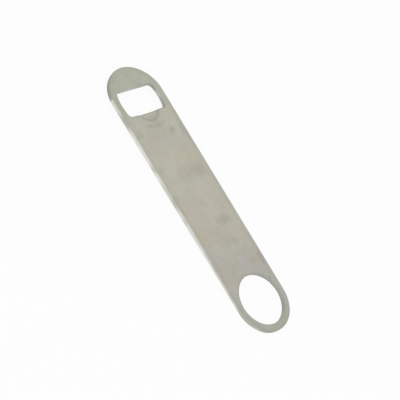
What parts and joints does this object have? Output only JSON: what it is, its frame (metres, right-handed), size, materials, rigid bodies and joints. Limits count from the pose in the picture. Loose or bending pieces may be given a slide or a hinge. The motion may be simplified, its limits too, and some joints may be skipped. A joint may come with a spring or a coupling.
{
  "type": "souvenir bottle opener",
  "caption": "Flat bar-blade bottle opener: a long round-ended steel plate with a cap mouth and pressed lip at one end and a round finger hole at the other.",
  "frame": {"origin": "under the middle of the blade, at the height of the pressed lip's lowest face, which is the lowest point of the part", "axes": "+X along the blade from the cap mouth to the finger hole, +Z out of the face that is on top when the lip points down, +Y across the blade"},
  "size_m": [0.178, 0.04, 0.0035],
  "materials": {
    "satin_steel": "satin mill finish, slightly smudged, with bright rounded long edges"
  },
  "bodies": {
    "root": {"opener_blade": "satin_steel"}
  },
  "joints": []
}
